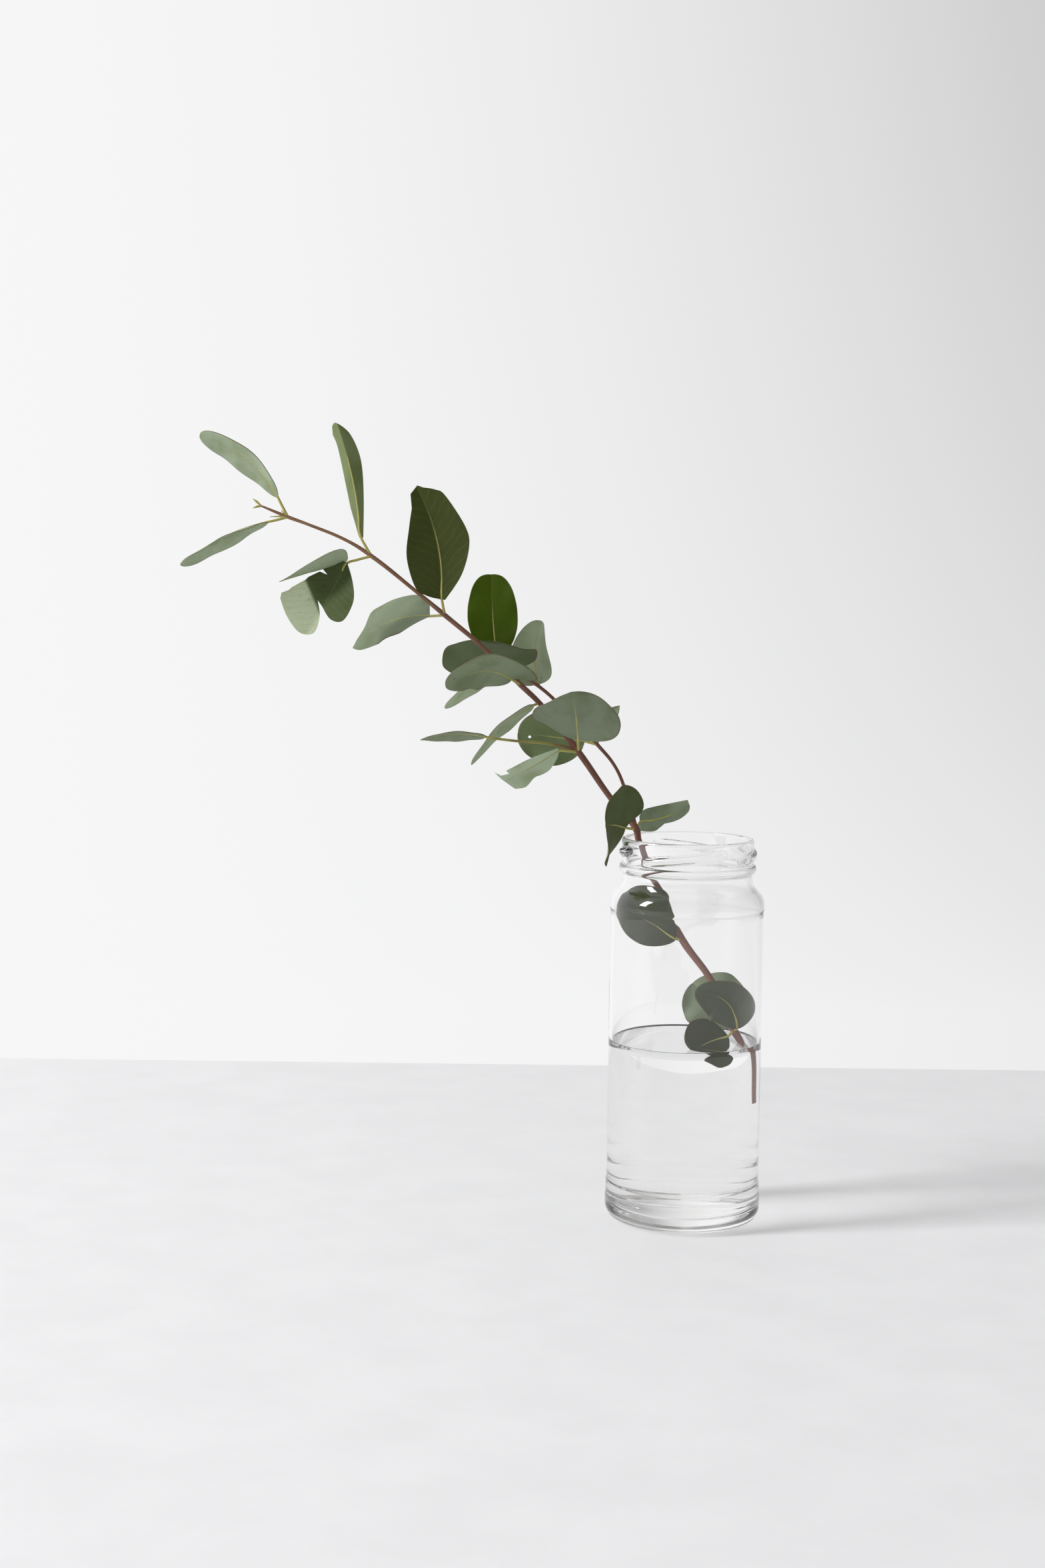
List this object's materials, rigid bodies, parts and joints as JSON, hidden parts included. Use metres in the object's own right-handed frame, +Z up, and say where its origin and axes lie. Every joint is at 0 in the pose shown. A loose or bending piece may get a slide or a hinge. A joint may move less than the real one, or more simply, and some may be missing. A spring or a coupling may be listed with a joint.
{
  "type": "branch in jar",
  "caption": "Cut eucalyptus branch with stalked oval leaves leaning in a clear glass twist-off jar half filled with water; stands on the jar's flat foot.",
  "frame": {"origin": "centre of the jar's foot, on the surface it stands on", "axes": "+Z up along the jar's axis, -Y towards the viewer of the picture, +X to the right there; the branch leans to -X"},
  "size_m": [0.2626, 0.0936, 0.3551],
  "materials": {
    "glass": "clear, glossy",
    "water": "clear, still",
    "bark": "smooth reddish-brown bark",
    "leaf": "leathery grey-green leaf with a waxy bloom"
  },
  "bodies": {
    "root": {"jar": "glass", "water": "water", "branch": "bark", "leaf_tip_upper": "leaf", "leaf_tip_lower": "leaf", "leaf_second_upper": "leaf", "leaf_second_torn": "leaf", "leaf_third_upper": "leaf", "leaf_third_lower": "leaf", "leaf_fourth_front": "leaf", "leaf_fourth_hanging": "leaf", "leaf_fifth_front": "leaf", "leaf_fifth_torn": "leaf", "leaf_twig": "leaf", "leaf_shoot_top": "leaf", "leaf_shoot_right": "leaf", "leaf_shoot_wide": "leaf", "leaf_shoot_under": "leaf", "leaf_shoot_low_left": "leaf", "leaf_shoot_low_right": "leaf", "leaf_mouth_front": "leaf", "leaf_mouth_right": "leaf", "leaf_jar_left": "leaf", "leaf_jar_front": "leaf", "leaf_jar_back": "leaf", "leaf_jar_wet": "leaf"}
  },
  "joints": []
}
